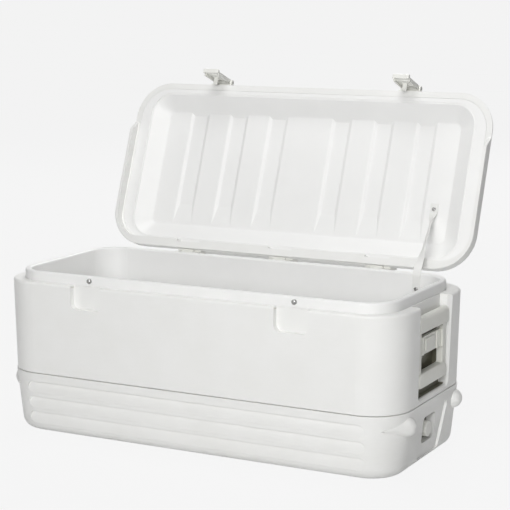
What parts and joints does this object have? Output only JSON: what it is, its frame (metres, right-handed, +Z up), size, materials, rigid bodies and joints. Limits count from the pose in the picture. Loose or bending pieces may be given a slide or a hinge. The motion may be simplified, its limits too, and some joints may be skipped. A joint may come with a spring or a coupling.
{
  "type": "chest cooler",
  "caption": "Large insulated chest cooler with a hinged lid, snap latches, swing-up end handles, a lid strap and a screw-capped drain.",
  "frame": {"origin": "middle of the underside, on the floor", "axes": "+X along the chest towards the drain end, -Y towards the front with the latches, +Z up"},
  "size_m": [0.9598, 0.6357, 0.7704],
  "materials": {
    "shell_white": "satin",
    "base_grey": "satin",
    "liner_white": "smooth",
    "foam": "cellular",
    "hardware_white": "satin",
    "handle_grey": "satin",
    "steel": "bright",
    "gasket": "matt",
    "strap": "woven"
  },
  "bodies": {
    "chest": {"outer_shell": "shell_white", "base": "base_grey", "inner_liner": "liner_white", "body_foam": "foam", "hinge_body_leaf_left": "hardware_white", "hinge_body_leaf_middle": "hardware_white", "hinge_body_leaf_right": "hardware_white", "drain_spout": "hardware_white", "drain_nut": "hardware_white", "latch_studs": "steel", "strap_screw_body": "steel", "hinge_screws_body": "steel", "hinge_pin_left": "steel", "hinge_pin_middle": "steel", "hinge_pin_right": "steel", "handle_pin_left": "steel", "handle_pin_right": "steel", "lid_strap": "strap"},
    "lid": {"lid_shell": "shell_white", "lid_liner": "liner_white", "lid_foam": "foam", "strap_screw_lid": "steel", "hinge_screws_lid": "steel", "latch_screws": "steel", "hinge_lid_leaf_left": "hardware_white", "hinge_lid_leaf_middle": "hardware_white", "hinge_lid_leaf_right": "hardware_white", "latch_bracket_left": "hardware_white", "latch_bracket_right": "hardware_white", "latch_pin_left": "steel", "latch_pin_right": "steel"},
    "latch_left": {"latch_left": "hardware_white"},
    "latch_right": {"latch_right": "hardware_white"},
    "handle_left": {"handle_left": "handle_grey"},
    "handle_right": {"handle_right": "handle_grey"},
    "drain_gasket": {"drain_gasket": "gasket"},
    "drain_cap": {"drain_cap": "hardware_white"}
  },
  "joints": [
    {"name": "lid_hinge", "type": "hinge", "parent": "chest", "child": "lid", "pos_m": [0, 0.218, 0.343], "axis": [1, 0, 0], "range_deg": [0, 111], "deforming": ["lid_strap"]},
    {"name": "latch_left_hinge", "type": "hinge", "parent": "lid", "child": "latch_left", "pos_m": [-0.242, 0.40538, 0.73488], "axis": [-1, 0, 0], "range_deg": [0, 105]},
    {"name": "latch_right_hinge", "type": "hinge", "parent": "lid", "child": "latch_right", "pos_m": [0.242, 0.40538, 0.73488], "axis": [-1, 0, 0], "range_deg": [0, 105]},
    {"name": "handle_left_hinge", "type": "hinge", "parent": "chest", "child": "handle_left", "pos_m": [-0.457, 0, 0.304], "axis": [0, 1, 0], "range_deg": [0, 105]},
    {"name": "handle_right_hinge", "type": "hinge", "parent": "chest", "child": "handle_right", "pos_m": [0.457, 0, 0.304], "axis": [0, -1, 0], "range_deg": [0, 105]},
    {"name": "drain_gasket_turn", "type": "hinge", "parent": "chest", "child": "drain_gasket", "pos_m": [0.43813, 0, 0.068], "axis": [1, 0, 0], "range_deg": [0, 1080]},
    {"name": "drain_cap_slide", "type": "slide", "parent": "drain_gasket", "child": "drain_cap", "axis": [1, 0, 0], "range_m": [0, 0.0121]}
  ],
  "couplings": [
    {"joint": "drain_cap_slide", "follows": "drain_gasket_turn", "m_per_rad": 0.00063662}
  ]
}
